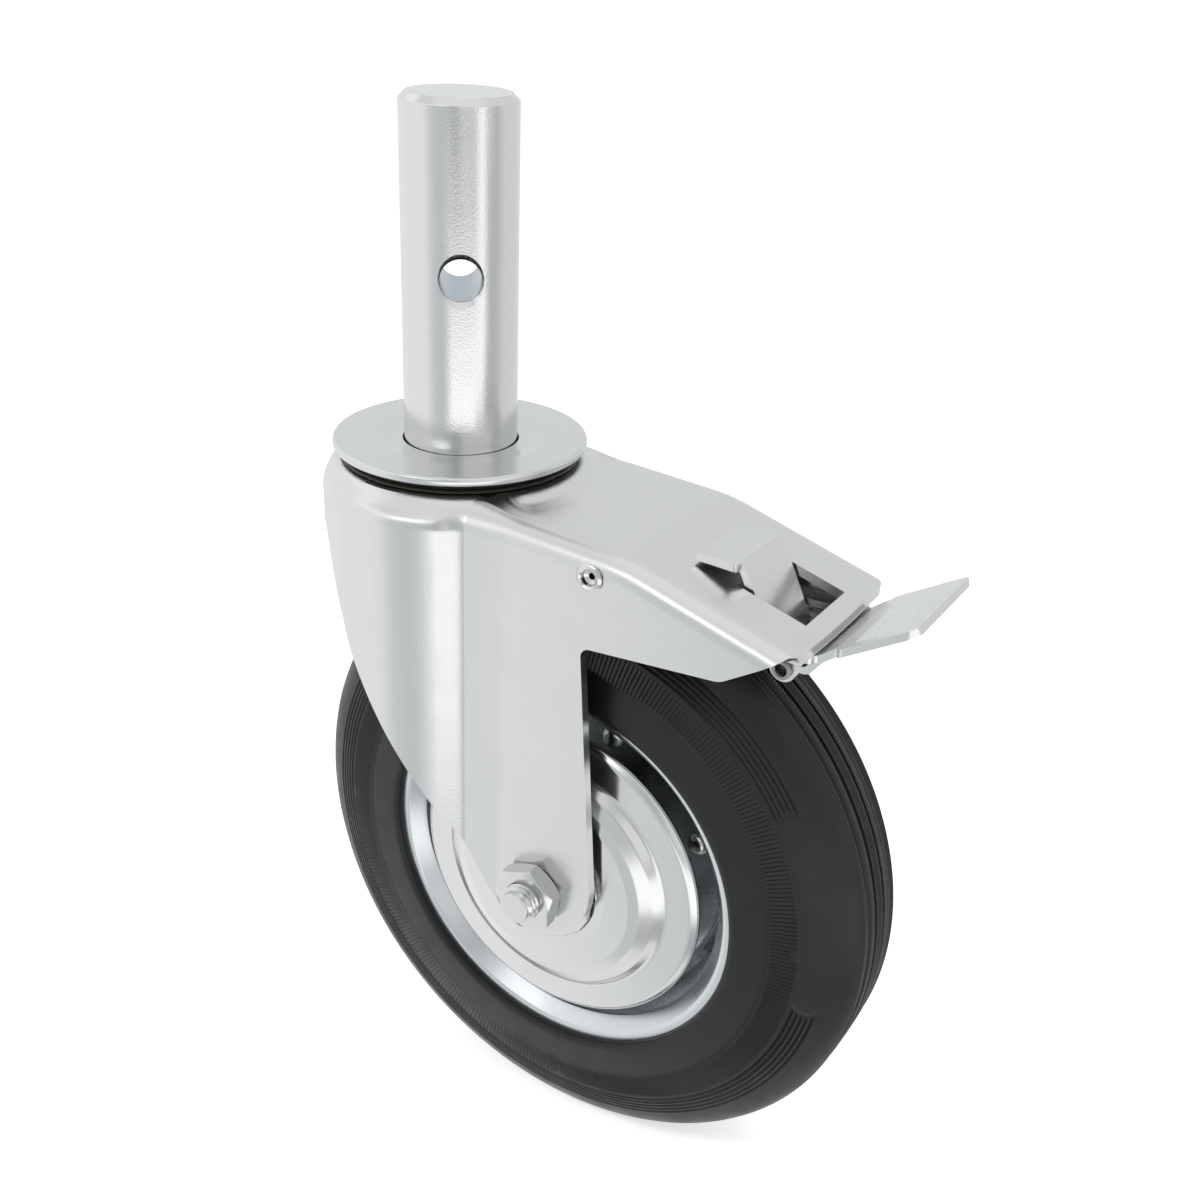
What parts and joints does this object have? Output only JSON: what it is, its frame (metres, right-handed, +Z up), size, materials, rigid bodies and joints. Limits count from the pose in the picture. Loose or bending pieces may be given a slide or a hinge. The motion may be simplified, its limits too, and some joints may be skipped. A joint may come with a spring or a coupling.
{
  "type": "castor",
  "caption": "Scaffold castor: zinc-plated swivel fork on a solid cross-drilled stem, with a rubber-tyred steel wheel and a rear brake pedal with a release flange.",
  "frame": {"origin": "On the swivel axis, in the plane of the head washer's top face.", "axes": "+Z runs up along the stem, +X towards the trailing side where the wheel and the brake pedal lie, and the wheel's axle runs along Y."},
  "size_m": [0.206, 0.0865, 0.3289],
  "materials": {
    "stem_zinc": "bright zinc plate over a turned bar",
    "washer_zinc": "bright zinc plate over a pressed ring",
    "fork_zinc": "bluish bright zinc plate over pressed sheet",
    "pedal_zinc": "bright zinc plate over pressed sheet",
    "fastener_zinc": "bright zinc plate",
    "rivet_bright": "bright zinc plate",
    "rim_zinc": "bright zinc plate over pressed sheet",
    "disc_zinc": "bright zinc plate over pressed sheet",
    "spring_steel": "plated spring steel",
    "race_steel": "hardened, oiled",
    "bearing_steel": "ground, greased",
    "tyre_rubber": "satin moulded rubber",
    "seal_rubber": "greased",
    "cap_nylon": "natural nylon",
    "cage_nylon": "natural nylon"
  },
  "bodies": {
    "head": {"stem": "stem_zinc", "head_washer": "washer_zinc", "dust_seal": "seal_rubber", "lower_race_cup": "race_steel", "swivel_lock_ring": "race_steel", "king_nut": "fastener_zinc"},
    "swivel_fork": {"fork": "fork_zinc", "upper_ball_cage": "bearing_steel", "lower_ball_cage": "bearing_steel", "brake_rivet": "rivet_bright", "axle_sleeve": "bearing_steel", "axle_bolt": "fastener_zinc", "axle_nut": "fastener_zinc"},
    "wheel": {"tyre": "tyre_rubber", "rim_half_near": "rim_zinc", "rim_half_far": "rim_zinc", "hub_disc_near": "disc_zinc", "hub_disc_far": "disc_zinc", "rim_rivet_1": "rivet_bright", "rim_rivet_2": "rivet_bright", "rim_rivet_3": "rivet_bright", "rim_rivet_4": "rivet_bright", "rim_rivet_5": "rivet_bright", "rim_rivet_6": "rivet_bright", "hub_tube": "bearing_steel", "hub_cap_near": "cap_nylon", "hub_cap_far": "cap_nylon", "roller_cage": "cage_nylon", "roller_1": "bearing_steel", "roller_2": "bearing_steel", "roller_3": "bearing_steel", "roller_4": "bearing_steel", "roller_5": "bearing_steel", "roller_6": "bearing_steel", "roller_7": "bearing_steel", "roller_8": "bearing_steel"},
    "brake": {"brake_plate": "spring_steel", "pedal_pin": "rivet_bright"},
    "brake_pedal": {"pedal": "pedal_zinc"}
  },
  "joints": [
    {"name": "swivel", "type": "hinge", "parent": "head", "child": "swivel_fork", "pos_m": [0, 0, 0], "axis": [0, 0, 1], "continuous": true},
    {"name": "wheel_spin", "type": "hinge", "parent": "swivel_fork", "child": "wheel", "pos_m": [0.053, 0, -0.1276], "axis": [0, 1, 0], "continuous": true},
    {"name": "brake_rock", "type": "hinge", "parent": "swivel_fork", "child": "brake", "pos_m": [0.0696, 0, -0.0168], "axis": [0, 1, 0], "range_deg": [0, 2.6]},
    {"name": "pedal_turn", "type": "hinge", "parent": "brake", "child": "brake_pedal", "pos_m": [0.1228, 0, -0.0344], "axis": [0, 1, 0], "range_deg": [0, 32]}
  ],
  "couplings": [
    {"joint": "brake_rock", "follows": "pedal_turn", "ratio": 0.08125}
  ]
}
